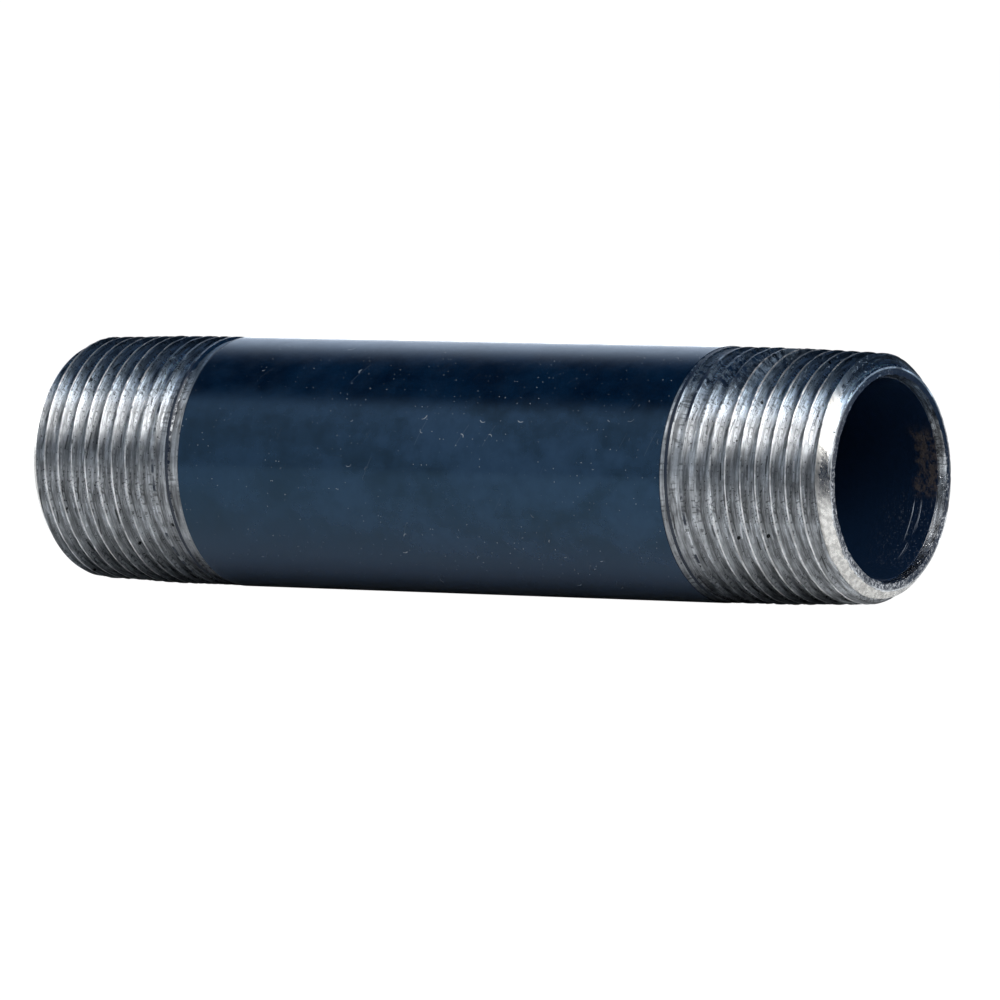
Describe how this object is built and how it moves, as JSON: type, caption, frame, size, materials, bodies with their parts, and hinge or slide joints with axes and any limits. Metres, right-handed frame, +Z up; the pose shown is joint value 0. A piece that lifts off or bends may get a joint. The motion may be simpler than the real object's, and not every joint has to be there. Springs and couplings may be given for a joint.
{
  "type": "threaded pipe nipple",
  "caption": "Straight black steel pipe nipple with a lacquered plain body, an open bore and a right-hand taper pipe thread on each end.",
  "frame": {"origin": "middle of the pipe's axis, halfway between its two end faces", "axes": "X along the pipe's axis, Z up as the pipe lies, Y across it"},
  "size_m": [0.1016, 0.0268, 0.0268],
  "materials": {
    "bare_steel": "freshly cut bare steel with tool marks",
    "black_lacquer": "semi-gloss blue-black lacquer",
    "bore_lacquer": "satin blue-black lacquer"
  },
  "bodies": {
    "root": {"steel_pipe": "bare_steel", "outer_lacquer": "black_lacquer", "bore_lacquer": "bore_lacquer"}
  },
  "joints": []
}
